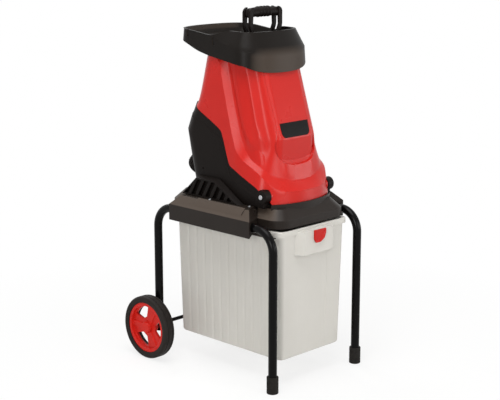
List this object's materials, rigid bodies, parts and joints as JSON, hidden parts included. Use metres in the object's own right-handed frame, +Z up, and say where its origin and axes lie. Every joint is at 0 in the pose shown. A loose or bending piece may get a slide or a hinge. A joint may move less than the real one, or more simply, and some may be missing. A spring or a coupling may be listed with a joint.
{
  "type": "garden_shredder",
  "caption": "Electric garden shredder on a wheeled tube stand, with a tilting red feed chute, a black motor housing, a pusher and a slide-out collecting bin",
  "frame": {"origin": "On the ground under the middle of the bounding box", "axes": "+Z is up, the front with the bin's grip faces -Y, +X is the machine's left as seen by someone standing behind it"},
  "size_m": [0.424, 0.522, 0.94],
  "materials": {
    "black_plastic": "fine texture",
    "red_plastic": "satin",
    "green_plastic": "satin",
    "grey_plastic": "translucent moulded",
    "black_paint": "gloss",
    "rubber": "matt",
    "tyre": "matt",
    "steel": "machined",
    "aluminium": "cast"
  },
  "bodies": {
    "stand": {"base_deck": "black_plastic", "left_leg": "black_paint", "right_leg": "black_paint", "rubber_feet": "rubber", "leg_bolts": "steel", "axle": "steel", "bin_switch": "black_plastic", "motor_housing": "black_plastic", "left_vent": "black_plastic", "right_vent": "black_plastic", "hinge_pins": "steel", "motor_can": "aluminium", "motor_end_shield": "aluminium", "upper_bearing": "steel", "lower_bearing": "steel", "switch_box": "black_plastic", "power_inlet": "black_plastic", "deck_screws": "steel"},
    "upper_unit": {"chute_housing": "red_plastic", "chute_liner": "black_plastic", "feed_hopper": "black_plastic"},
    "pusher": {"pusher": "black_plastic"},
    "left_wheel": {"left_rim": "red_plastic", "left_tyre": "tyre", "left_hub_cap": "red_plastic"},
    "right_wheel": {"right_rim": "red_plastic", "right_tyre": "tyre", "right_hub_cap": "red_plastic"},
    "bin": {"bin": "grey_plastic"},
    "latch": {"bin_latch": "red_plastic"},
    "lock": {"locking_knob": "black_plastic", "knob_spindle": "steel"},
    "rotor": {"motor_shaft": "steel", "cooling_fan": "black_plastic", "cutter_disc": "steel", "cutter_blades": "steel", "disc_bolt": "steel"},
    "on_button": {"on_button": "green_plastic"},
    "off_button": {"off_button": "red_plastic"},
    "reset_button": {"reset_button": "black_plastic"}
  },
  "joints": [
    {"name": "chute_tilt", "type": "hinge", "parent": "stand", "child": "upper_unit", "pos_m": [0, -0.1744, 0.4834], "axis": [1, 0, 0], "range_deg": [0, 60]},
    {"name": "pusher_slide", "type": "slide", "parent": "upper_unit", "child": "pusher", "axis": [0, 0, 1], "range_m": [0, 0.28]},
    {"name": "bin_slide", "type": "slide", "parent": "stand", "child": "bin", "axis": [0, -1, 0], "range_m": [0, 0.42]},
    {"name": "latch_slide", "type": "slide", "parent": "bin", "child": "latch", "axis": [0, 0, -1], "range_m": [0, 0.012]},
    {"name": "left_wheel_spin", "type": "hinge", "parent": "stand", "child": "left_wheel", "pos_m": [-0.196, 0.176, 0.085], "axis": [1, 0, 0], "continuous": true},
    {"name": "right_wheel_spin", "type": "hinge", "parent": "stand", "child": "right_wheel", "pos_m": [0.196, 0.176, 0.085], "axis": [1, 0, 0], "continuous": true},
    {"name": "lock_turn", "type": "hinge", "parent": "stand", "child": "lock", "pos_m": [0, 0.0238, 0.66822], "axis": [0, -0.682, 0.7314], "range_deg": [0, 720]},
    {"name": "rotor_spin", "type": "hinge", "parent": "stand", "child": "rotor", "pos_m": [0, -0.05958, 0.59047], "axis": [0, -0.682, 0.7314], "continuous": true},
    {"name": "on_press", "type": "slide", "parent": "stand", "child": "on_button", "axis": [-1, 0, 0], "range_m": [0, 0.003], "stiffness_N_per_m": 150},
    {"name": "off_press", "type": "slide", "parent": "stand", "child": "off_button", "axis": [-1, 0, 0], "range_m": [0, 0.003], "stiffness_N_per_m": 150},
    {"name": "reset_press", "type": "slide", "parent": "stand", "child": "reset_button", "axis": [-1, 0, 0], "range_m": [0, 0.003], "stiffness_N_per_m": 150}
  ]
}
